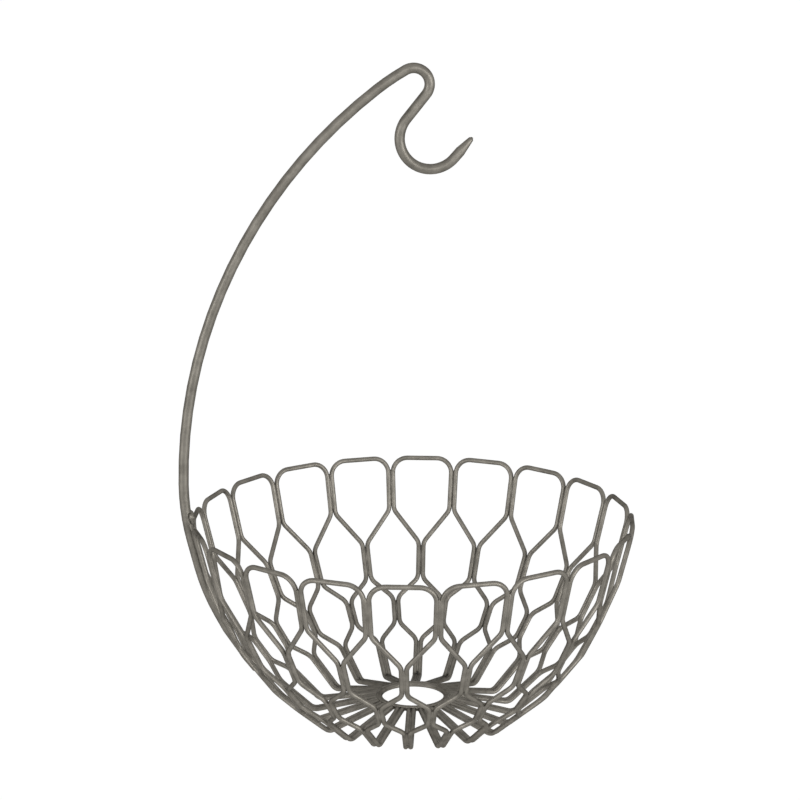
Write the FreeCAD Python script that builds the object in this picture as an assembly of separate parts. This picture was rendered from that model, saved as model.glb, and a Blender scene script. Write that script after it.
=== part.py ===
import FreeCAD, Part
import math
import os
from FreeCAD import Vector

# Open wire fruit bowl with a hanging hook. Twenty equal bent wires make the bowl, a ring joins their spokes in
# the middle of the base, and one thick wire rises from the wall and ends in a hook over the bowl.
# Millimetres. +Z is up, the bowl's axis is the Z axis, its feet stand on Z = 0, and the hook stem is at -X.

# Wires
PETAL_COUNT = 20
WIRE_DIAMETER = 3.0
STEM_DIAMETER = 6.2
WIRE_SIDES = 8
STEM_SIDES = 12
WELD_GAP = 0.06

# Wall of the bowl. Each level is the radius and the height of the wire's centre where its runs meet.
RIM_RADIUS = 134.6
RIM_HEIGHT = 126.5
UPPER_PAIR_END_RADIUS = 126.4
UPPER_PAIR_END_HEIGHT = 93.2
MIDDLE_PAIR_START_RADIUS = 119.1
MIDDLE_PAIR_START_HEIGHT = 73.1
MIDDLE_PAIR_END_RADIUS = 108.7
MIDDLE_PAIR_END_HEIGHT = 51.7
LOWER_PAIR_START_RADIUS = 101.6
LOWER_PAIR_START_HEIGHT = 41.1
LOWER_PAIR_END_RADIUS = 91.0
LOWER_PAIR_END_HEIGHT = 27.1
FOOT_PAIR_START_RADIUS = 82.6
FOOT_PAIR_START_HEIGHT = 18.8
FOOT_RADIUS = 61.9
FOOT_HEIGHT = 1.0
SPOKE_RISE = 9.5
SPOKE_END_CLEARANCE = 2.0

# Bends of the thin wire, at its centre
ARCH_BEND_RADIUS = 9.5
WALL_BEND_RADIUS = 8.0
FOOT_BEND_RADIUS = 6.0

# Hook stem: straight lengths, and bends at the wire's centre. Its slim end lies on the outside of a lower pair,
# the part above widens to the full wire, and beside the rim the stem sits between the two wires of the upper
# pair, with its centre a little further out than theirs.
STEM_END_DIAMETER = 2.8
STEM_END_ROUNDING = 0.8
STEM_END_LENGTH = 10.5
STEM_END_RUN_ON = 2.5
STEM_WIDENING_SHARE = 0.42
STEM_PROUD = 2.75
STEM_WALL_RUN_ON = 8.9
STEM_RIM_RISE = 8.3
STEM_BEND_SHARE = 0.35
STEM_ARC_RADIUS = 298.2
STEM_ARC_ANGLE = 52.8
STEM_SHOULDER_RADIUS = 143.0
STEM_SHOULDER_ANGLE = 7.9
STEM_TOP_RADIUS = 9.6
STEM_TOP_ANGLE = 158.1
HOOK_DROP_LENGTH = 18.4
HOOK_RADIUS = 18.5
HOOK_ANGLE = 177.2
HOOK_TIP_LENGTH = 16.4
TIP_TAPER_LENGTH = 11.0
TIP_DIAMETER = 3.2
TIP_ROUNDING = 1.1

# Straight steps that make up each bend
FOOT_BEND_STEPS = 2
WALL_BEND_STEPS = 2
SLIGHT_BEND_STEPS = 1
ARCH_BEND_STEPS = 3
STEM_WALL_STEPS = 2
STEM_RIM_STEPS = 2
STEM_ARC_STEPS = 8
STEM_SHOULDER_STEPS = 1
STEM_TOP_STEPS = 6
HOOK_STEPS = 7

# Derived sizes. A wire's section has as much area as a round wire, and its corners reach a little past it.
half_pitch = math.pi / PETAL_COUNT


def corner_reach(diameter, sides):
    """Centre to corner of a regular section with the area of a round wire."""
    return diameter / 2 * math.sqrt(2 * math.pi / (sides * math.sin(2 * math.pi / sides)))


wire_reach = corner_reach(WIRE_DIAMETER, WIRE_SIDES)
stem_reach = corner_reach(STEM_DIAMETER, STEM_SIDES)
pair_offset = wire_reach + WELD_GAP / 2
stem_end_reach = corner_reach(STEM_END_DIAMETER, STEM_SIDES)
beside_stem = wire_reach + stem_reach + WELD_GAP
stem_end_seat = math.sqrt((wire_reach + stem_end_reach + WELD_GAP) ** 2 - pair_offset ** 2)
spoke_end_radius = (pair_offset + wire_reach) / math.tan(half_pitch) + SPOKE_END_CLEARANCE
spoke_end_height = FOOT_HEIGHT + SPOKE_RISE


def turn_at(before, corner, after):
    """Angle in radians by which a path turns at a corner."""
    return (corner - before).getAngle(after - corner)


def bend_points(before, corner, after, radius, steps):
    """Short straight steps round an arc that touches both runs beside the corner."""
    into = (corner - before).normalize()
    out = (after - corner).normalize()
    turn = turn_at(before, corner, after)
    axis = into.cross(out).normalize()
    start = corner - into * (radius * math.tan(turn / 2))
    centre = start + axis.cross(into) * radius
    spread = 1 / math.cos(turn / (2 * steps))
    points = []
    for step in range(steps):
        swing = FreeCAD.Rotation(axis, math.degrees(turn * (step + 0.5) / steps))
        points.append(centre + swing.multVec(start - centre) * spread)
    return points


def bent_route(ends, corners):
    """Points of a wire from its first end to its last, with each corner rounded by its bend."""
    first, last = ends
    stops = [first] + [corner for corner, radius, steps in corners] + [last]
    points = [first]
    for index, (corner, radius, steps) in enumerate(corners):
        points += bend_points(stops[index], corner, stops[index + 2], radius, steps)
    points.append(last)
    return points


def section(centre, aside, across, reach, sides):
    """Regular outline round the centre, with a flat towards the direction aside."""
    points = []
    for side in range(sides):
        angle = 2 * math.pi * (side + 0.5) / sides
        points.append(centre + aside * (reach * math.cos(angle)) + across * (reach * math.sin(angle)))
    return Part.makePolygon(points + [points[0]])


def swept_wire(points, aside, reach, sides):
    """Solid wire along the points, with a mitre at each of them."""
    along = (points[1] - points[0]).normalize()
    across = along.cross(aside).normalize()
    profile = section(points[0], across.cross(along), across, reach, sides)
    mitred = 1
    return Part.makePolygon(points).makePipeShell([profile], True, False, mitred)


def wall_point(radius, height, angle, aside):
    """Point at a radius and height in the upright plane at an angle, shifted sideways out of that plane."""
    outward = Vector(math.cos(angle), math.sin(angle), 0)
    sideways = Vector(-math.sin(angle), math.cos(angle), 0)
    return outward * radius + sideways * aside + Vector(0, 0, height)


def petal_leg(angle, side, upper_offset):
    """One half of a petal wire: its spoke end, then each corner with its bend, up to the arch at the rim."""
    own = (angle, side * pair_offset)
    shared = (angle + side * half_pitch, -side * pair_offset)
    upper = (angle + side * half_pitch, -side * upper_offset)
    end = wall_point(spoke_end_radius, spoke_end_height, *own)
    foot_bend = (FOOT_BEND_RADIUS, FOOT_BEND_STEPS)
    wall_bend = (WALL_BEND_RADIUS, WALL_BEND_STEPS)
    slight_bend = (WALL_BEND_RADIUS, SLIGHT_BEND_STEPS)
    arch_bend = (ARCH_BEND_RADIUS, ARCH_BEND_STEPS)
    corners = [
        (wall_point(FOOT_RADIUS, FOOT_HEIGHT, *own), *foot_bend),
        (wall_point(FOOT_PAIR_START_RADIUS, FOOT_PAIR_START_HEIGHT, *own), *wall_bend),
        (wall_point(LOWER_PAIR_END_RADIUS, LOWER_PAIR_END_HEIGHT, *shared), *slight_bend),
        (wall_point(LOWER_PAIR_START_RADIUS, LOWER_PAIR_START_HEIGHT, *shared), *wall_bend),
        (wall_point(MIDDLE_PAIR_END_RADIUS, MIDDLE_PAIR_END_HEIGHT, *own), *wall_bend),
        (wall_point(MIDDLE_PAIR_START_RADIUS, MIDDLE_PAIR_START_HEIGHT, *own), *wall_bend),
        (wall_point(UPPER_PAIR_END_RADIUS, UPPER_PAIR_END_HEIGHT, *upper), *wall_bend),
        (wall_point(RIM_RADIUS, RIM_HEIGHT, *upper), *arch_bend),
    ]
    return end, corners


def petal_wire(angle, first_offset, last_offset):
    """One bent wire: spoke, foot, two crossings in the wall, arch at the rim, and the same back."""
    first, up = petal_leg(angle, -1, first_offset)
    last, down = petal_leg(angle, 1, last_offset)
    points = bent_route((first, last), up + down[::-1])
    return swept_wire(points, wall_point(0, 0, angle, 1), wire_reach, WIRE_SIDES)


def centre_ring():
    """Ring inside the spoke ends and level with them, with one straight step to each pair of spokes."""
    half_flat = wire_reach * math.cos(math.pi / WIRE_SIDES)
    lean = math.sin(math.atan2(SPOKE_RISE, FOOT_RADIUS - spoke_end_radius))
    radius = spoke_end_radius - wire_reach * lean - WELD_GAP - half_flat
    corners = []
    for index in range(PETAL_COUNT):
        corners.append(wall_point(radius / math.cos(half_pitch), spoke_end_height, 2 * half_pitch * index, 0))
    middle = (corners[0] + corners[-1]) * 0.5
    points = [middle] + corners + [middle]
    return swept_wire(points, Vector(0, 0, 1), wire_reach, WIRE_SIDES)


def stem_point(out, height):
    """Point of the stem's own upright plane, out from the bowl's axis."""
    return Vector(-out, 0, height)


def stem_run(upper, lower, proud):
    """Two points of the stem's centre where it runs outside a pair of wires, and the direction up along it."""
    along = (stem_point(*upper) - stem_point(*lower)).normalize()
    outward = along.cross(Vector(0, 1, 0)) * proud
    return stem_point(*upper) + outward, stem_point(*lower) + outward, along


def shared_bend(before, corner, after, steps):
    """Bend at a corner that takes up a set share of the shorter run beside it."""
    shorter = min((corner - before).Length, (after - corner).Length)
    radius = shorter * STEM_BEND_SHARE / math.tan(turn_at(before, corner, after) / 2)
    return bend_points(before, corner, after, radius, steps)


def taper(centre, along, start, end, length):
    """Length of wire that narrows or widens from one diameter to another."""
    aside = Vector(0, 1, 0)
    first = section(centre, aside, along.cross(aside), corner_reach(start, STEM_SIDES), STEM_SIDES)
    last = section(centre + along * length, aside, along.cross(aside), corner_reach(end, STEM_SIDES), STEM_SIDES)
    return Part.makeLoft([first, last], True, True)


def slim_end(end, corner, widened):
    """Slim lower end of the stem: a small rounding, a straight length, and beyond the corner it widens."""
    into = (corner - end).normalize()
    out = (widened - corner).normalize()
    blunt = STEM_END_DIAMETER - STEM_END_ROUNDING
    rounding = taper(end, into, blunt, STEM_END_DIAMETER, STEM_END_ROUNDING)
    past_corner = corner + out * STEM_END_ROUNDING
    points = [end + into * STEM_END_ROUNDING, corner, past_corner]
    straight = swept_wire(points, Vector(0, 1, 0), stem_end_reach, STEM_SIDES)
    length = (widened - past_corner).Length
    return [rounding, straight, taper(past_corner, out, STEM_END_DIAMETER, STEM_DIAMETER, length)]


def tapered_tip(point, along):
    """Narrowing tip of the hook, with a small rounding at its very end, beyond a point."""
    blunt = TIP_DIAMETER - TIP_ROUNDING
    straight = TIP_TAPER_LENGTH - TIP_ROUNDING
    long_part = taper(point, along, STEM_DIAMETER, TIP_DIAMETER, straight)
    return [long_part, taper(point + along * straight, along, TIP_DIAMETER, blunt, TIP_ROUNDING)]


def hook_stem():
    """Thick wire: welded to the wall, up beside the rim, over the bowl in one arc, and back in a hook."""
    rim, upper_end, along_upper = stem_run(
        (RIM_RADIUS, RIM_HEIGHT), (UPPER_PAIR_END_RADIUS, UPPER_PAIR_END_HEIGHT), STEM_PROUD
    )
    lower_start, lower_end, along_lower = stem_run(
        (LOWER_PAIR_START_RADIUS, LOWER_PAIR_START_HEIGHT),
        (LOWER_PAIR_END_RADIUS, LOWER_PAIR_END_HEIGHT),
        stem_end_seat,
    )
    low_corner = lower_start + along_lower * STEM_END_RUN_ON
    wall_corner = upper_end - along_upper * STEM_WALL_RUN_ON
    rim_corner = rim + along_upper * STEM_RIM_RISE
    heading = Vector(0, 0, 1)
    above = rim_corner + heading * (rim_corner - wall_corner).Length
    wall_bend = shared_bend(low_corner, wall_corner, rim_corner, STEM_WALL_STEPS)
    rim_bend = shared_bend(wall_corner, rim_corner, above, STEM_RIM_STEPS)
    widened = low_corner + (wall_corner - low_corner) * STEM_WIDENING_SHARE
    points = [widened] + wall_bend + rim_bend
    place = rim_corner + (above - rim_corner) * STEM_BEND_SHARE

    bends = [
        (STEM_ARC_RADIUS, STEM_ARC_ANGLE, 0, STEM_ARC_STEPS),
        (STEM_SHOULDER_RADIUS, STEM_SHOULDER_ANGLE, 0, STEM_SHOULDER_STEPS),
        (STEM_TOP_RADIUS, STEM_TOP_ANGLE, HOOK_DROP_LENGTH, STEM_TOP_STEPS),
        (HOOK_RADIUS, -HOOK_ANGLE, HOOK_TIP_LENGTH - TIP_TAPER_LENGTH, HOOK_STEPS),
    ]
    for radius, turn, straight, steps in bends:
        axis = Vector(0, math.copysign(1, turn), 0)
        centre = place + axis.cross(heading) * radius
        spread = 1 / math.cos(math.radians(turn) / (2 * steps))
        for step in range(steps):
            swing = FreeCAD.Rotation(axis, abs(turn) * (step + 0.5) / steps)
            points.append(centre + swing.multVec(place - centre) * spread)
        whole = FreeCAD.Rotation(axis, abs(turn))
        place = centre + whole.multVec(place - centre)
        heading = whole.multVec(heading)
        place = place + heading * straight
    points.append(place)
    wire = swept_wire(points, Vector(0, 1, 0), stem_reach, STEM_SIDES)
    end = lower_start - along_lower * STEM_END_LENGTH
    tips = slim_end(end, low_corner, widened) + tapered_tip(place, heading)
    return wire.multiFuse(tips).removeSplitter().Solids[0]


def build():
    """Every piece by its name, with the feet on Z = 0."""
    pieces = {}
    for index in range(PETAL_COUNT):
        angle = math.pi + half_pitch * (2 * index + 1)
        first_offset = beside_stem if index == 0 else pair_offset
        last_offset = beside_stem if index == PETAL_COUNT - 1 else pair_offset
        pieces["petal_wire_%02d" % (index + 1)] = petal_wire(angle, first_offset, last_offset)
    lift = -pieces["petal_wire_01"].BoundBox.ZMin
    pieces["centre_ring"] = centre_ring()
    pieces["hook_stem"] = hook_stem()
    for shape in pieces.values():
        shape.translate(Vector(0, 0, lift))
    return pieces


os.makedirs("parts", exist_ok=True)
for name, shape in build().items():
    shape.exportStep("parts/" + name + ".step")
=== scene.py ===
"""Dressed model of an open wire fruit bowl with a tall hanging hook, in satin pewter coat.

Metres. The bowl's axis is +Z, its feet stand on the floor, and the hook stem is at -X.
"""

import logging
import math
import random
from dataclasses import dataclass
from enum import Enum

import bpy
from mathutils import Euler, Matrix, Quaternion, Vector


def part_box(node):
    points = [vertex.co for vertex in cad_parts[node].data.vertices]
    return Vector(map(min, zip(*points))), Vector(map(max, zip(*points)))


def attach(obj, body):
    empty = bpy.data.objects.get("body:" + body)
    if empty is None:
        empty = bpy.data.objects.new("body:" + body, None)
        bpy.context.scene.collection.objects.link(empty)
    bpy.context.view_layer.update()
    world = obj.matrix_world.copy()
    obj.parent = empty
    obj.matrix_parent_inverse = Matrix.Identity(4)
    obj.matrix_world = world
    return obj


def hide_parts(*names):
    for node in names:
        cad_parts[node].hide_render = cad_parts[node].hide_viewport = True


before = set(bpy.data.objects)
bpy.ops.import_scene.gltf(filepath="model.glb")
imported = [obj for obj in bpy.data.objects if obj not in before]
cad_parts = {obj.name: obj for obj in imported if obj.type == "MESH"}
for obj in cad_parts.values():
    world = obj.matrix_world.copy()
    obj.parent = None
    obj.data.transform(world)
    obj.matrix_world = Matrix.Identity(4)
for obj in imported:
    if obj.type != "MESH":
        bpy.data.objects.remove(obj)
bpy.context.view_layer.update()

LOG = logging.getLogger("fruit_bowl")
UP = Vector((0.0, 0.0, 1.0))
WHITE = (1.0, 1.0, 1.0, 1.0)
MERGE_DISTANCE = 1e-6
SMOOTH_ANGLE = math.radians(35)

# A bead's feathered end: share of the feathered length from the tip, and shares of the width and depth there.
FEATHERED_END = ((0.0, 0.20, 0.20), (0.4, 0.62, 0.55), (1.0, 0.95, 0.85))
# A bead's swelling: distance from its middle as a share of the bead's length, and share of it found there.
SWELLING_PROFILE = ((-0.16, 0.0), (-0.08, 0.6), (0.0, 1.0), (0.08, 0.6), (0.16, 0.0))


class MaterialSlot(Enum):
    """Material slots of the record that the pieces take their finish from."""

    THIN_WIRE = "coated_wire"
    THICK_WIRE = "coated_stem"


@dataclass(frozen=True)
class Level:
    """Where two straight runs of a petal wire meet: radius and height of the wire's centre."""

    radius: float
    height: float

    def at(self, angle: float, aside: float) -> Vector:
        """Places the level in an upright plane of the bowl.

        Args:
            angle: turn of the plane about the bowl's axis, in radians.
            aside: shift out of that plane, in metres.

        Returns:
            The point in the bowl's frame.
        """
        outward = Vector((math.cos(angle), math.sin(angle), 0.0))
        sideways = UP.cross(outward)
        return outward * self.radius + sideways * aside + UP * self.height


@dataclass(frozen=True)
class Gauge:
    """A wire's thickness, how finely its section and bends are drawn, and the rounding of its cut ends."""

    diameter: float
    sides: int
    bend_step: float
    cut_edge: float

    @property
    def radius(self) -> float:
        """Half the thickness."""
        return self.diameter / 2


@dataclass(frozen=True)
class BowlShape:
    """Sizes that the bowl's wires share.

    Pair_spread is how far a wire's centre is from the plane between it and the wire that it is welded to, and
    stem_spread is the same where the stem lies between the two.
    """

    petal_count: int = 20
    thin: Gauge = Gauge(diameter=0.0030, sides=20, bend_step=math.radians(9), cut_edge=0.0003)
    thick: Gauge = Gauge(diameter=0.0062, sides=32, bend_step=math.radians(3), cut_edge=0.0008)
    pair_spread: float = 0.00151
    stem_spread: float = 0.00468
    rim: Level = Level(0.1346, 0.1265)
    upper_end: Level = Level(0.1264, 0.0932)
    middle_start: Level = Level(0.1191, 0.0731)
    middle_end: Level = Level(0.1087, 0.0517)
    lower_start: Level = Level(0.1016, 0.0411)
    lower_end: Level = Level(0.0910, 0.0271)
    foot_start: Level = Level(0.0826, 0.0188)
    foot: Level = Level(0.0619, 0.0010)
    spoke_end: Level = Level(0.0204, 0.0106)
    arch_bend: float = 0.0095
    wall_bend: float = 0.0080
    foot_bend: float = 0.0060

    @property
    def half_pitch(self) -> float:
        """Half the angle between two petal wires."""
        return math.pi / self.petal_count

    def petal_angle(self, index: int) -> float:
        """Angle of a petal wire's own plane, counted from the hook stem."""
        return math.pi + self.half_pitch * (2 * index + 1)


def deselect_everything() -> None:
    """Leaves object mode and clears the selection, which the loaded nodes fill at first."""
    if bpy.context.mode != "OBJECT":
        bpy.ops.object.mode_set(mode="OBJECT")
    bpy.ops.object.select_all(action="DESELECT")


def select_only(pieces: list[bpy.types.Object]) -> None:
    """Selects the pieces and makes the first one active."""
    deselect_everything()
    for piece in pieces:
        piece.select_set(True)
    bpy.context.view_layer.objects.active = pieces[0]


def name_piece(piece: bpy.types.Object, name: str) -> bpy.types.Object:
    """Gives an object and its mesh one name, and returns the object."""
    piece.name = name
    piece.data.name = name
    return piece


def copy_of(piece: bpy.types.Object, name: str, place: Matrix) -> bpy.types.Object:
    """Copies a piece with its own mesh, and moves the mesh.

    Args:
        piece: the modelled piece.
        name: name of the copy.
        place: where the copy's mesh goes, from where the piece's mesh is.

    Returns:
        The new object, at the origin.
    """
    twin = bpy.data.objects.new(name, piece.data.copy())
    twin.data.name = name
    twin.data.transform(place)
    if place.to_3x3().determinant() < 0:
        twin.data.flip_normals()
    bpy.context.scene.collection.objects.link(twin)
    return twin


def join_pieces(pieces: list[bpy.types.Object], name: str) -> bpy.types.Object:
    """Makes one piece of many small ones, and returns it under its name."""
    select_only(pieces)
    bpy.ops.object.join()
    return name_piece(bpy.context.active_object, name)


def axes_matrix(across: Vector, along: Vector, place: Vector) -> Matrix:
    """Frame for a small piece that is modelled along +Y and faces +Z.

    Args:
        across: direction of the piece's +X.
        along: direction of the piece's +Y, square to across.
        place: where the piece's origin goes.

    Returns:
        The matrix that takes the piece there.
    """
    x_axis = across.normalized()
    y_axis = along.normalized()
    z_axis = x_axis.cross(y_axis)
    turned = Matrix((x_axis, y_axis, z_axis)).transposed()
    return Matrix.Translation(place) @ turned.to_4x4()


def close_and_smooth(piece: bpy.types.Object) -> bpy.types.Object:
    """Closes the open ends of a piece in edit mode, turns its faces outwards and smooths it."""
    bpy.ops.mesh.select_all(action="SELECT")
    bpy.ops.mesh.remove_doubles(threshold=MERGE_DISTANCE)
    bpy.ops.mesh.select_all(action="SELECT")
    bpy.ops.mesh.fill_holes(sides=0)
    bpy.ops.mesh.select_all(action="SELECT")
    bpy.ops.mesh.normals_make_consistent(inside=False)
    bpy.ops.object.mode_set(mode="OBJECT")
    bpy.ops.object.shade_smooth_by_angle(angle=SMOOTH_ANGLE)
    return piece


@dataclass(frozen=True)
class Bead:
    """A run of weld or of gathered coat: a flat rounded strip with feathered ends and a swelling.

    The swelling is a factor on the depth, and widens the strip by a share of what it adds to the depth. Proud
    is how far the strip is shifted out of the bowl from the wires' centres.
    """

    half_width: float
    half_depth: float
    swelling: float
    swelling_at: float
    proud: float = 0.0
    swelling_width_share: float = 0.4
    feather: float = 0.0012
    sides: int = 12

    def sections(self, length: float) -> list[tuple[float, float, float]]:
        """Lists the strip's sections.

        Args:
            length: length of the strip.

        Returns:
            For each section its distance along the strip, half its width and half its depth.
        """
        end = [(self.feather * along, wide, deep) for along, wide, deep in FEATHERED_END]
        sections = list(end)
        middle = self.swelling_at * length
        for shift, share in SWELLING_PROFILE:
            grown = 1.0 + (self.swelling - 1.0) * share
            sections.append((middle + shift * length, 1.0 + (grown - 1.0) * self.swelling_width_share, grown))
        sections += [(length - along, wide, deep) for along, wide, deep in reversed(end)]
        return [(along, self.half_width * wide, self.half_depth * deep) for along, wide, deep in sections]

    def model(self, name: str, length: float) -> bpy.types.Object:
        """Models the strip along +Y from the origin, wide along X and deep along Z.

        Args:
            name: name of the piece.
            length: length of the strip.

        Returns:
            The closed, smooth strip.
        """
        sections = self.sections(length)
        place, wide, deep = sections[0]
        deselect_everything()
        bpy.ops.mesh.primitive_circle_add(vertices=self.sides, radius=1.0, rotation=(math.pi / 2, 0.0, 0.0))
        piece = name_piece(bpy.context.active_object, name)
        bpy.ops.object.transform_apply(location=True, rotation=True, scale=True)
        bpy.ops.object.mode_set(mode="EDIT")
        bpy.ops.mesh.select_all(action="SELECT")
        bpy.ops.transform.resize(value=(wide, 1.0, deep), center_override=(0.0, 0.0, 0.0))
        for along, next_wide, next_deep in sections[1:]:
            bpy.ops.mesh.extrude_region_move(TRANSFORM_OT_translate={"value": (0.0, along - place, 0.0)})
            grown = (next_wide / wide, 1.0, next_deep / deep)
            bpy.ops.transform.resize(value=grown, center_override=(0.0, along, 0.0))
            place, wide, deep = along, next_wide, next_deep
        return close_and_smooth(piece)


class BentWire:
    """A round wire, drawn by pulling a circle along each run and swinging it round each bend."""

    def __init__(self, name: str, start: Vector, heading: Vector, gauge: Gauge, first_radius: float) -> None:
        """Adds the circle of the wire's first end.

        Args:
            name: name of the finished piece.
            start: centre of the first end.
            heading: direction in which the wire leaves it.
            gauge: the wire's thickness and fineness.
            first_radius: radius of the first end.
        """
        deselect_everything()
        bpy.ops.mesh.primitive_circle_add(
            vertices=gauge.sides,
            radius=first_radius,
            location=start,
            rotation=heading.to_track_quat("Z", "Y").to_euler(),
        )
        self.piece = name_piece(bpy.context.active_object, name)
        self.gauge = gauge
        self.place = start.copy()
        self.heading = heading.normalized()
        self.width = first_radius
        bpy.ops.object.transform_apply(location=True, rotation=True, scale=True)
        bpy.ops.object.mode_set(mode="EDIT")
        bpy.ops.mesh.select_all(action="SELECT")

    def run(self, length: float, last_radius: float = 0.0) -> None:
        """Pulls the wire straight on.

        Args:
            length: length of the run.
            last_radius: radius at its end, or 0 to keep the radius.
        """
        step = self.heading * length
        bpy.ops.mesh.extrude_region_move(TRANSFORM_OT_translate={"value": step})
        self.place += step
        if last_radius:
            share = last_radius / self.width
            bpy.ops.transform.resize(value=(share, share, share), center_override=self.place)
            self.width = last_radius

    def bend(self, radius: float, axis: Vector, turn: float) -> None:
        """Swings the wire round a bend.

        Args:
            radius: radius of the bend at the wire's centre.
            axis: axis of the bend, square to the wire.
            turn: angle of the bend, in radians.
        """
        centre = self.place + axis.cross(self.heading) * radius
        steps = max(2, round(turn / self.gauge.bend_step))
        bpy.ops.mesh.spin(steps=steps, angle=-turn, center=centre, axis=axis)
        swing = Quaternion(axis, turn)
        self.place = centre + swing @ (self.place - centre)
        self.heading = swing @ self.heading

    def round_corner(self, corner: Vector, after: Vector, radius: float, last_radius: float = 0.0) -> None:
        """Takes the wire straight to a bend, and round it.

        Args:
            corner: where the two runs would meet.
            after: a point on the run after the bend.
            radius: radius of the bend at the wire's centre.
            last_radius: radius of the wire where the bend begins, or 0 to keep the radius.
        """
        ahead = (after - corner).normalized()
        turn = self.heading.angle(ahead)
        self.run((corner - self.place).length - radius * math.tan(turn / 2), last_radius)
        self.bend(radius, self.heading.cross(ahead).normalized(), turn)

    def follow(self, corners: list[tuple[Vector, float]], last: Vector) -> None:
        """Takes the wire round corners with rounded bends, to a last point.

        Args:
            corners: each corner where two runs would meet, with the radius of its bend.
            last: where the last run ends.
        """
        stops = [corner for corner, _ in corners] + [last]
        for index, (corner, radius) in enumerate(corners):
            self.round_corner(corner, stops[index + 1], radius)
        self.run((last - self.place).length)

    def begin_cut(self) -> None:
        """Rounds the edge of a plainly cut first end."""
        self.run(self.gauge.cut_edge, self.gauge.radius)

    def end_cut(self) -> None:
        """Rounds the edge of a plainly cut last end."""
        self.run(self.gauge.cut_edge, self.gauge.radius - self.gauge.cut_edge)

    def finish(self) -> bpy.types.Object:
        """Closes the ends and returns the smooth piece."""
        return close_and_smooth(self.piece)


@dataclass(frozen=True)
class PewterCoat:
    """Satin grey-brown pewter coat on steel: baked metallic paint with a fine, slightly uneven skin.

    Scales are in waves a metre. Where the mottle with its flakes is at mottle_low the coat has its low shade,
    and at mottle_high its high one.
    """

    name: str
    shade_low: tuple[float, float, float] = (0.148, 0.138, 0.119)
    shade_high: tuple[float, float, float] = (0.243, 0.227, 0.198)
    mottle_low: float = 0.36
    mottle_high: float = 0.80
    mottle_scale: float = 160.0
    flake_scale: float = 1800.0
    flake_share: float = 0.16
    skin_scale: float = 900.0
    skin_depth: float = 0.00003
    skin_strength: float = 0.8
    roughness_low: float = 0.36
    roughness_high: float = 0.48
    metallic: float = 0.68
    specular: float = 0.1
    edge_tint: float = 0.14

    def build(self) -> bpy.types.Material:
        """Makes the material from the finish's values, in Object coordinates."""
        material = bpy.data.materials.new(self.name)
        material.use_nodes = True
        tree = material.node_tree
        link = tree.links.new
        shader = tree.nodes["Principled BSDF"]
        shader.inputs["Metallic"].default_value = self.metallic
        shader.inputs["Specular IOR Level"].default_value = self.specular
        shader.inputs["Specular Tint"].default_value = (self.edge_tint, self.edge_tint, self.edge_tint, 1.0)
        place = tree.nodes.new("ShaderNodeTexCoord").outputs["Object"]

        mottle = self._noise(tree, place, self.mottle_scale, detail=4.0)
        flake = self._noise(tree, place, self.flake_scale, detail=2.0)
        blend = tree.nodes.new("ShaderNodeMath")
        blend.operation = "MULTIPLY_ADD"
        blend.inputs[1].default_value = self.flake_share
        link(flake, blend.inputs[0])
        link(mottle, blend.inputs[2])

        shades = tree.nodes.new("ShaderNodeValToRGB")
        shades.color_ramp.elements[0].position = self.mottle_low
        shades.color_ramp.elements[0].color = (*self.shade_low, 1.0)
        shades.color_ramp.elements[1].position = self.mottle_high
        shades.color_ramp.elements[1].color = (*self.shade_high, 1.0)
        link(blend.outputs[0], shades.inputs["Fac"])
        link(shades.outputs["Color"], shader.inputs["Base Color"])

        gloss = tree.nodes.new("ShaderNodeMapRange")
        gloss.inputs["To Min"].default_value = self.roughness_low
        gloss.inputs["To Max"].default_value = self.roughness_high
        link(mottle, gloss.inputs["Value"])
        link(gloss.outputs["Result"], shader.inputs["Roughness"])

        skin = self._noise(tree, place, self.skin_scale, detail=3.0)
        bump = tree.nodes.new("ShaderNodeBump")
        bump.inputs["Distance"].default_value = self.skin_depth
        bump.inputs["Strength"].default_value = self.skin_strength
        link(skin, bump.inputs["Height"])
        link(bump.outputs["Normal"], shader.inputs["Normal"])
        return material

    @staticmethod
    def _noise(
        tree: bpy.types.NodeTree, place: bpy.types.NodeSocket, scale: float, detail: float
    ) -> bpy.types.NodeSocket:
        """Adds a noise texture and returns its value."""
        node = tree.nodes.new("ShaderNodeTexNoise")
        node.inputs["Scale"].default_value = scale
        node.inputs["Detail"].default_value = detail
        tree.links.new(place, node.inputs["Vector"])
        return node.outputs["Fac"]


def dress(
    piece: bpy.types.Object, coat: bpy.types.Material, node: str = ""
) -> bpy.types.Object:
    """Coats a piece and ties it to the frame.

    Args:
        piece: the finished piece.
        coat: its material.
        node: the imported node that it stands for, if any.

    Returns:
        The piece.
    """
    piece.data.materials.clear()
    piece.data.materials.append(coat)
    if node:
        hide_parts(node)
    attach(piece, "root")
    LOG.info("%s: %d faces", piece.name, len(piece.data.polygons))
    return piece


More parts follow.
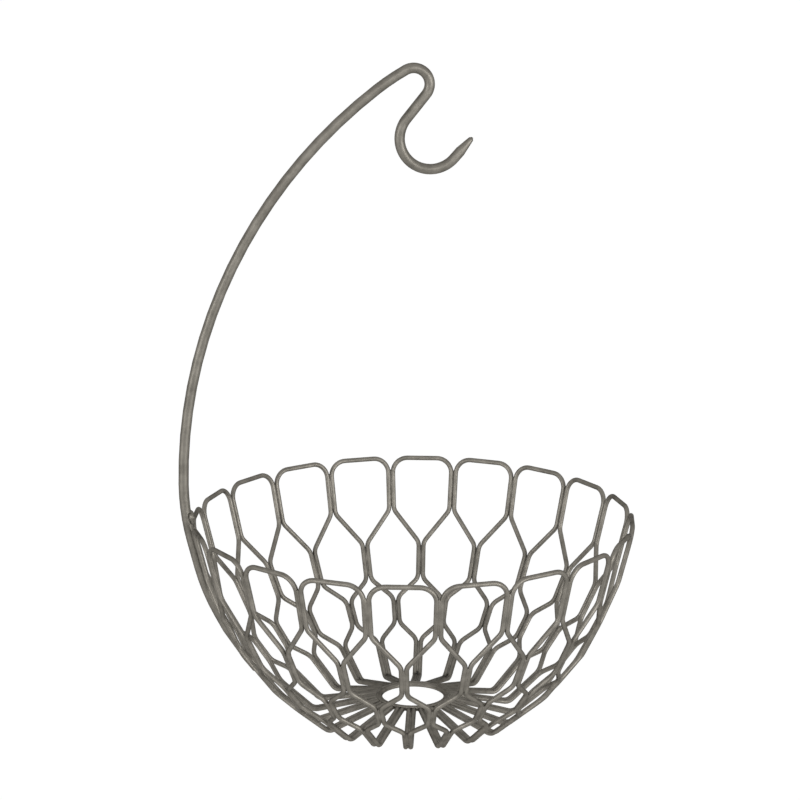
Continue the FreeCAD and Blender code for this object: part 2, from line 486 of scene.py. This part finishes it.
@dataclass
class PetalWires:
    """The twenty bent wires that make the honeycomb wall, the feet and the spokes."""

    shape: BowlShape
    coat: bpy.types.Material

    def leg(self, angle: float, side: int, upper_spread: float) -> tuple[Vector, list[tuple[Vector, float]]]:
        """Lays out one half of a petal wire.

        Args:
            angle: angle of the petal's own plane.
            side: -1 or 1, for the leg on that side.
            upper_spread: distance of the upper length from the plane that it shares with its neighbour.

        Returns:
            The spoke's end, and each corner up to the rim with the radius of its bend.
        """
        shape = self.shape
        own = (angle, side * shape.pair_spread)
        shared = (angle + side * shape.half_pitch, -side * shape.pair_spread)
        upper = (angle + side * shape.half_pitch, -side * upper_spread)
        corners = [
            (shape.foot.at(*own), shape.foot_bend),
            (shape.foot_start.at(*own), shape.wall_bend),
            (shape.lower_end.at(*shared), shape.wall_bend),
            (shape.lower_start.at(*shared), shape.wall_bend),
            (shape.middle_end.at(*own), shape.wall_bend),
            (shape.middle_start.at(*own), shape.wall_bend),
            (shape.upper_end.at(*upper), shape.wall_bend),
            (shape.rim.at(*upper), shape.arch_bend),
        ]
        return shape.spoke_end.at(*own), corners

    def model_petal(self, index: int, first_spread: float) -> bpy.types.Object:
        """Draws one petal wire from one spoke end to the other.

        Args:
            index: number of the petal, counted from the hook stem.
            first_spread: distance of its first leg's upper length from the shared plane.

        Returns:
            The wire, as high as it was laid out.
        """
        angle = self.shape.petal_angle(index)
        first, up = self.leg(angle, -1, first_spread)
        last, down = self.leg(angle, 1, self.shape.pair_spread)
        gauge = self.shape.thin
        heading = (up[0][0] - first).normalized()
        wire = BentWire(f"petal_{index + 1:02d}", first, heading, gauge, gauge.radius - gauge.cut_edge)
        wire.begin_cut()
        inward = (last - down[0][0]).normalized()
        wire.follow(up + down[::-1], last - inward * gauge.cut_edge)
        wire.end_cut()
        return wire.finish()

    def build(self) -> float:
        """Models the petal beside the stem and a plain one, and copies them round the bowl.

        Returns:
            How far the wires were raised so that their feet stand on the floor.
        """
        count = self.shape.petal_count
        beside_stem = self.model_petal(0, self.shape.stem_spread)
        plain = self.model_petal(1, self.shape.pair_spread)
        lift = -min(vertex.co.z for vertex in plain.data.vertices)
        for petal in (beside_stem, plain):
            petal.data.transform(Matrix.Translation(UP * lift))
        petals = [beside_stem, plain]
        for index in range(2, count - 1):
            turn = Matrix.Rotation(2 * self.shape.half_pitch * (index - 1), 4, "Z")
            petals.append(copy_of(plain, f"petal_{index + 1:02d}", turn))
        mirror = Matrix.Scale(-1.0, 4, (0.0, 1.0, 0.0))
        petals.append(copy_of(beside_stem, f"petal_{count:02d}", mirror))
        for index, petal in enumerate(petals):
            dress(petal, self.coat, f"petal_wire_{index + 1:02d}")
        return lift


@dataclass
class CentreRing:
    """The ring inside the forty spoke ends, which butt against it and are welded to it."""

    shape: BowlShape
    coat: bpy.types.Material

    @property
    def radius(self) -> float:
        """Radius of the ring at the wire's centre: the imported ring's outer radius less half the wire."""
        low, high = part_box("centre_ring")
        return (high.x - low.x) / 2 - self.shape.thin.radius

    @property
    def height(self) -> float:
        """Height of the ring's centre."""
        low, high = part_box("centre_ring")
        return (low.z + high.z) / 2

    def build(self) -> bpy.types.Object:
        """Swings the wire once round the bowl's axis and dresses the ring."""
        gauge = self.shape.thin
        start = Vector((self.radius, 0.0, self.height))
        wire = BentWire("centre_ring_wire", start, Vector((0.0, 1.0, 0.0)), gauge, gauge.radius)
        wire.bend(self.radius, UP, 2 * math.pi)
        return dress(wire.finish(), self.coat, "centre_ring")


@dataclass
class HookStem:
    """The thick wire: along the wall, up beside the rim, over the bowl and back in an open hook.

    The slim end reaches end_run down from the lower pair's top level and end_run_on up from it. Beside the
    upper pair the stem is straight, from wall_run_on below the pair to rim_rise above the rim. From there its
    bends are given by radius and turn.
    """

    shape: BowlShape
    coat: bpy.types.Material
    lift: float
    end_radius: float = 0.0014
    end_run: float = 0.0105
    end_run_on: float = 0.0025
    proud: float = 0.00275
    wall_run_on: float = 0.0089
    rim_rise: float = 0.0083
    bend_share: float = 0.35
    widening_share: float = 0.42
    arc_radius: float = 0.2982
    arc_turn: float = math.radians(52.8)
    shoulder_radius: float = 0.143
    shoulder_turn: float = math.radians(7.9)
    top_radius: float = 0.0096
    top_turn: float = math.radians(158.1)
    drop: float = 0.0184
    hook_radius: float = 0.0185
    hook_turn: float = math.radians(177.2)
    tip_run: float = 0.0164
    taper: float = 0.0110
    tip_radius: float = 0.0016
    dome_steps: int = 3
    dome_step_share: float = 0.3
    dome_flat_share: float = 0.35

    def beside(self, upper: Level, lower: Level, proud: float) -> tuple[Vector, Vector, Vector]:
        """Lays the stem along the outside of a welded pair.

        Args:
            upper: the pair's upper level.
            lower: the pair's lower level.
            proud: how far the stem's centre is outside the centres of the pair.

        Returns:
            The stem's centre at the upper and the lower level, and the direction up along it.
        """
        high = upper.at(math.pi, 0.0)
        low = lower.at(math.pi, 0.0)
        along = (high - low).normalized()
        outward = along.cross(Vector((0.0, 1.0, 0.0))) * proud
        return high + outward, low + outward, along

    def open_end(self, start: Vector, heading: Vector, radius: float) -> BentWire:
        """Begins the wire with a domed end of a radius."""
        first = radius * self.dome_flat_share
        wire = BentWire("hook_stem_wire", start, heading, self.shape.thick, first)
        for step in range(1, self.dome_steps + 1):
            angle = math.pi / 2 * step / self.dome_steps
            wire.run(radius * self.dome_step_share, max(first, radius * math.sin(angle)))
        return wire

    def close_tip(self, wire: BentWire) -> None:
        """Ends the wire with a taper and a small dome."""
        dome_step = self.tip_radius * self.dome_step_share
        last = self.tip_radius * self.dome_flat_share
        wire.run(self.taper - dome_step * self.dome_steps, self.tip_radius)
        for step in range(1, self.dome_steps + 1):
            angle = math.pi / 2 * step / self.dome_steps
            wire.run(dome_step, max(last, self.tip_radius * math.cos(angle)))

    def shared_bend(self, before: Vector, corner: Vector, after: Vector) -> float:
        """Radius of a bend that takes up a set share of the shorter run beside its corner."""
        reach = min((corner - before).length, (after - corner).length) * self.bend_share
        return reach / math.tan((corner - before).angle(after - corner) / 2)

    def build(self) -> bpy.types.Object:
        """Draws the whole stem from its slim lower end to the hook's tip, and dresses it."""
        shape = self.shape
        touching = shape.thin.radius + self.end_radius
        end_proud = math.sqrt(touching ** 2 - shape.pair_spread ** 2)
        rim, upper_end, along_upper = self.beside(shape.rim, shape.upper_end, self.proud)
        lower_start, _, along_lower = self.beside(shape.lower_start, shape.lower_end, end_proud)
        low_corner = lower_start + along_lower * self.end_run_on
        wall_corner = upper_end - along_upper * self.wall_run_on
        rim_corner = rim + along_upper * self.rim_rise
        above = rim_corner + UP * (rim_corner - wall_corner).length
        turn = along_lower.angle(wall_corner - low_corner)
        low_radius = self.end_run_on / math.tan(turn / 2)
        wall_radius = self.shared_bend(low_corner, wall_corner, rim_corner)
        rim_radius = self.shared_bend(wall_corner, rim_corner, above)

        wire = self.open_end(lower_start - along_lower * self.end_run, along_lower, self.end_radius)
        wire.round_corner(low_corner, wall_corner, low_radius)
        widening = (wall_corner - low_corner).length * self.widening_share - self.end_run_on
        wire.run(widening, shape.thick.radius)
        wire.round_corner(wall_corner, rim_corner, wall_radius)
        wire.round_corner(rim_corner, above, rim_radius)
        over = Vector((0.0, 1.0, 0.0))
        wire.bend(self.arc_radius, over, self.arc_turn)
        wire.bend(self.shoulder_radius, over, self.shoulder_turn)
        wire.bend(self.top_radius, over, self.top_turn)
        wire.run(self.drop)
        wire.bend(self.hook_radius, -over, self.hook_turn)
        wire.run(self.tip_run - self.taper)
        self.close_tip(wire)
        stem = wire.finish()
        stem.data.transform(Matrix.Translation(UP * self.lift))
        return dress(stem, self.coat, "hook_stem")


@dataclass(frozen=True)
class DoubledRun:
    """A length in which two thin wires lie side by side, and the bead that fills their groove.

    The gaps are how far the bead stays short of the run's upper and lower level, or below 0, how far it runs
    past it.
    """

    name: str
    upper: Level
    lower: Level
    between_petals: bool
    upper_gap: float
    lower_gap: float
    bead: Bead


@dataclass
class Welds:
    """The weld marks, and the coat that has gathered in the grooves between doubled wires.

    Where the ring's fillets lie is given in radii of the thin wire, the two ranges are factors on a seam's
    length and depth, and the rest is in metres.
    """

    shape: BowlShape
    coat: bpy.types.Material
    lift: float
    ring_radius: float
    ring_height: float
    groove: Bead = Bead(half_width=0.00125, half_depth=0.00095, swelling=1.25, swelling_at=0.36, proud=0.0003)
    deep_groove: Bead = Bead(half_width=0.00120, half_depth=0.00120, swelling=1.1, swelling_at=0.5)
    seed: int = 20
    length_range: tuple[float, float] = (0.93, 1.0)
    fullness_range: tuple[float, float] = (0.85, 1.1)

    ring_fillet: Bead = Bead(half_width=0.00095, half_depth=0.00075, swelling=1.15, swelling_at=0.5)
    ring_fillet_half_length: float = 2.6
    ring_fillet_outward: float = 0.95
    ring_fillet_above: float = 0.66

    stem_fillet: Bead = Bead(half_width=0.00120, half_depth=0.00090, swelling=1.15, swelling_at=0.3)
    stem_fillet_below_rim: float = 0.003
    stem_fillet_short: float = 0.010
    stem_fillet_clear: float = 0.0003
    rim_lump: Bead = Bead(half_width=0.00220, half_depth=0.00140, swelling=1.3, swelling_at=0.38)
    rim_lump_length: float = 0.0075
    rim_lump_above_rim: float = 0.0083
    rim_lump_inward: float = 0.0018

    def runs(self) -> list[DoubledRun]:
        """Lists the five lengths of doubled wire that repeat round the bowl."""
        shape, groove, deep = self.shape, self.groove, self.deep_groove
        return [
            DoubledRun("upper_seams", shape.rim, shape.upper_end, True, 0.0078, 0.0015, groove),
            DoubledRun("middle_seams", shape.middle_start, shape.middle_end, False, 0.0021, 0.0021, groove),
            DoubledRun("lower_seams", shape.lower_start, shape.lower_end, True, 0.0021, 0.0012, groove),
            DoubledRun("foot_seams", shape.foot_start, shape.foot, False, 0.0015, 0.0010, deep),
            DoubledRun("spoke_seams", shape.foot, shape.spoke_end, False, 0.0010, -0.0010, deep),
        ]

    def groove_seams(self, run: DoubledRun, chance: random.Random) -> bpy.types.Object:
        """Fills the groove of one kind of doubled run, all round the bowl.

        Args:
            run: the doubled run.
            chance: source of the small differences between the seams.

        Returns:
            All the seams of that run as one piece.
        """
        shape = self.shape
        length = (run.upper.at(0.0, 0.0) - run.lower.at(0.0, 0.0)).length - run.upper_gap - run.lower_gap
        model = run.bead.model(run.name, length)
        first = 1 if run.upper == shape.rim else 0  # at the rim, the stem lies between the first two wires
        seams = []
        for index in range(first, shape.petal_count):
            angle = math.pi + shape.half_pitch * (2 * index if run.between_petals else 2 * index + 1)
            high = run.upper.at(angle, 0.0) + UP * self.lift
            low = run.lower.at(angle, 0.0) + UP * self.lift
            along = (low - high).normalized()
            sideways = UP.cross(Vector((math.cos(angle), math.sin(angle), 0.0)))
            stretch = Matrix.Scale(chance.uniform(*self.length_range), 4, (0.0, 1.0, 0.0))
            fuller = Matrix.Scale(chance.uniform(*self.fullness_range), 4, (0.0, 0.0, 1.0))
            outside = along.cross(sideways) * run.bead.proud
            place = axes_matrix(sideways, along, high + along * run.upper_gap + outside)
            seams.append(copy_of(model, f"{run.name}_{index + 1:02d}", place @ stretch @ fuller))
        bpy.data.objects.remove(model)
        return join_pieces(seams, run.name)

    def ring_welds(self) -> bpy.types.Object:
        """Fills the notches above and below the ring where each pair of spokes butts against it."""
        shape = self.shape
        radius = shape.thin.radius
        model = self.ring_fillet.model("ring_welds", 2 * self.ring_fillet_half_length * radius)
        welds = []
        for index in range(shape.petal_count):
            angle = shape.petal_angle(index)
            outward = Vector((math.cos(angle), math.sin(angle), 0.0))
            sideways = UP.cross(outward)
            edge = outward * (self.ring_radius + self.ring_fillet_outward * radius)
            for level in (-1.0, 1.0):
                height = UP * (self.ring_height + level * self.ring_fillet_above * radius)
                start = edge + height - sideways * self.ring_fillet_half_length * radius
                place = axes_matrix(-outward, sideways, start)
                welds.append(copy_of(model, f"ring_weld_{len(welds) + 1:02d}", place))
        bpy.data.objects.remove(model)
        return join_pieces(welds, "ring_welds")

    def stem_welds(self, proud: float) -> bpy.types.Object:
        """Welds the stem to the two wires that hold it, with a lump on each side at the rim.

        Args:
            proud: how far the stem's centre is outside the centres of the two wires.

        Returns:
            The welds as one piece.
        """
        shape = self.shape
        high = shape.rim.at(math.pi, 0.0) + UP * self.lift
        low = shape.upper_end.at(math.pi, 0.0) + UP * self.lift
        along = (low - high).normalized()
        outward = Vector((0.0, 1.0, 0.0)).cross(along)
        fillet = self.stem_fillet.model("stem_fillet", (low - high).length - self.stem_fillet_short)
        lump = self.rim_lump.model("rim_lump", self.rim_lump_length)
        welds = []
        for side in (-1.0, 1.0):
            aside = Vector((0.0, side * shape.stem_spread, 0.0))
            across = (outward * proud - aside).normalized()
            middle = aside + across * (shape.thin.radius + self.stem_fillet_clear)
            start = high + along * self.stem_fillet_below_rim + middle
            welds.append(copy_of(fillet, f"stem_fillet_{len(welds) + 1}", axes_matrix(across, along, start)))
            start = high - along * self.rim_lump_above_rim + middle - outward * self.rim_lump_inward
            welds.append(copy_of(lump, f"rim_lump_{len(welds) + 1}", axes_matrix(across, along, start)))
        bpy.data.objects.remove(fillet)
        bpy.data.objects.remove(lump)
        return join_pieces(welds, "stem_welds")

    def build(self, proud: float) -> None:
        """Models and dresses the seams of the five kinds of doubled run, the ring's and the stem's welds.

        Args:
            proud: how far the stem's centre is outside the centres of the two wires that hold it.
        """
        chance = random.Random(self.seed)
        pieces = [self.groove_seams(run, chance) for run in self.runs()]
        pieces += [self.ring_welds(), self.stem_welds(proud)]
        for piece in pieces:
            dress(piece, self.coat)


@dataclass(frozen=True)
class SoftLamp:
    """A broad soft lamp, given by where it shines from as the camera sees the bowl.

    Aside is how far it stands to the camera's left, above how far over the floor's level and spread how wide
    it is, all in degrees. Strength is in watts on a square metre.
    """

    name: str
    aside: float
    above: float
    strength: float
    spread: float


@dataclass
class Studio:
    """Pale floor, white surroundings, soft lamps and the camera at the photograph's angle.

    Look_azimuth is the direction of view from the X axis, and look_down its slope, both in degrees.
    """

    eye: Vector
    look_azimuth: float
    look_down: float
    lens: float
    lamps: tuple[SoftLamp, ...] = (
        SoftLamp("front_softbox", -4.0, -2.0, 1.20, 60.0),
        SoftLamp("right_softbox", -48.0, -2.0, 1.65, 28.0),
        SoftLamp("left_softbox", 50.0, -2.0, 1.15, 28.0),
        SoftLamp("table_bounce", -10.0, -42.0, 0.50, 50.0),
        SoftLamp("top_softbox", 0.0, 70.0, 0.10, 60.0),
    )
    lamp_distance: float = 2.0
    ambient: float = 0.04
    floor_radius: float = 14.0
    floor_sides: int = 96
    floor_shade: float = 0.34
    floor_roughness: float = 0.9
    floor_glow: float = 0.97
    sensor_width: float = 36.0
    nearest: float = 0.05
    farthest: float = 50.0

    def camera(self) -> None:
        """Puts the camera where the photograph was taken from."""
        data = bpy.data.cameras.new("photo_camera")
        data.lens = self.lens
        data.sensor_width = self.sensor_width
        data.clip_start = self.nearest
        data.clip_end = self.farthest
        eye = bpy.data.objects.new("photo_camera", data)
        eye.location = self.eye
        tilt = math.pi / 2 - math.radians(self.look_down)
        eye.rotation_euler = Euler((tilt, 0.0, math.radians(self.look_azimuth - 90.0)))
        bpy.context.scene.collection.objects.link(eye)
        bpy.context.scene.camera = eye

    def surroundings(self) -> None:
        """White to the camera and in gloss, and a plain level of soft light for the rest."""
        world = bpy.data.worlds.new("white_surroundings")
        bpy.context.scene.world = world
        world.use_nodes = True
        tree = world.node_tree
        seen = tree.nodes.new("ShaderNodeBackground")
        seen.inputs["Strength"].default_value = 1.0
        seen.inputs["Color"].default_value = WHITE
        soft = tree.nodes["Background"]
        soft.inputs["Color"].default_value = WHITE
        soft.inputs["Strength"].default_value = self.ambient
        mix = tree.nodes.new("ShaderNodeMixShader")
        tree.links.new(self._seen_directly(tree), mix.inputs["Fac"])
        tree.links.new(soft.outputs[0], mix.inputs[1])
        tree.links.new(seen.outputs[0], mix.inputs[2])
        tree.links.new(mix.outputs[0], tree.nodes["World Output"].inputs["Surface"])

    @staticmethod
    def _seen_directly(tree: bpy.types.NodeTree) -> bpy.types.NodeSocket:
        """Adds the test that is 1 for the camera's own rays and for those in gloss and glass."""
        rays = tree.nodes.new("ShaderNodeLightPath")
        total = rays.outputs["Is Camera Ray"]
        for kind in ("Is Glossy Ray", "Is Transmission Ray"):
            node = tree.nodes.new("ShaderNodeMath")
            node.operation = "ADD"
            node.use_clamp = True
            tree.links.new(total, node.inputs[0])
            tree.links.new(rays.outputs[kind], node.inputs[1])
            total = node.outputs[0]
        return total

    def floor(self) -> None:
        """Lays a wide pale floor, which casts no shadow itself, so that the light from below gets through."""
        deselect_everything()
        bpy.ops.mesh.primitive_circle_add(
            vertices=self.floor_sides, radius=self.floor_radius, fill_type="NGON"
        )
        plane = name_piece(bpy.context.active_object, "studio_floor")
        material = bpy.data.materials.new("pale_floor")
        material.use_nodes = True
        tree = material.node_tree
        shader = tree.nodes["Principled BSDF"]
        shade = self.floor_shade
        shader.inputs["Base Color"].default_value = (shade, shade, shade, 1.0)
        shader.inputs["Roughness"].default_value = self.floor_roughness
        shader.inputs["Specular IOR Level"].default_value = 0.0
        shader.inputs["Emission Color"].default_value = WHITE
        glow = tree.nodes.new("ShaderNodeMath")
        glow.operation = "MULTIPLY"
        glow.inputs[1].default_value = self.floor_glow
        tree.links.new(self._seen_directly(tree), glow.inputs[0])
        tree.links.new(glow.outputs[0], shader.inputs["Emission Strength"])
        plane.data.materials.append(material)
        plane.visible_shadow = False

    def light(self) -> None:
        """Sets the soft lamps up: in front, at both sides, above, and below for the white table's light."""
        for lamp in self.lamps:
            data = bpy.data.lights.new(lamp.name, "SUN")
            data.energy = lamp.strength
            data.angle = math.radians(lamp.spread)
            source = bpy.data.objects.new(lamp.name, data)
            azimuth = math.radians(self.look_azimuth + 180.0 - lamp.aside)
            height = math.radians(lamp.above)
            reach = math.cos(height)
            towards = Vector((math.cos(azimuth) * reach, math.sin(azimuth) * reach, math.sin(height)))
            source.rotation_euler = towards.to_track_quat("Z", "Y").to_euler()
            source.location = towards * self.lamp_distance
            bpy.context.scene.collection.objects.link(source)

    def build(self) -> None:
        """Sets the whole studio up."""
        self.camera()
        self.surroundings()
        self.floor()
        self.light()
        bpy.context.scene.view_settings.view_transform = "Standard"


def main() -> None:
    """Builds the bowl, its ring, its hook and the studio."""
    logging.basicConfig(level=logging.INFO, format="%(name)s: %(message)s")
    shape = BowlShape()
    thin_coat = PewterCoat("pewter_coat_thin_wire").build()
    # The thick wire has the same pewter coat as the thin wires. Its darker shades are painted shade, which
    # renders the stem darker than the lamps alone light it.
    shaded_thick_coat = PewterCoat(
        "pewter_coat_thick_wire_painted_shade", shade_low=(0.131, 0.122, 0.105), shade_high=(0.217, 0.203, 0.177)
    ).build()
    lift = PetalWires(shape, thin_coat).build()
    ring = CentreRing(shape, thin_coat)
    ring.build()
    stem = HookStem(shape, shaded_thick_coat, lift)
    stem.build()
    Welds(shape, thin_coat, lift, ring.radius, ring.height).build(stem.proud)
    studio = Studio(
        eye=Vector((-0.1777, -1.5690, 0.6140)), look_azimuth=83.83, look_down=14.668, lens=121.7
    )
    studio.build()


if __name__ == "__main__":
    main()
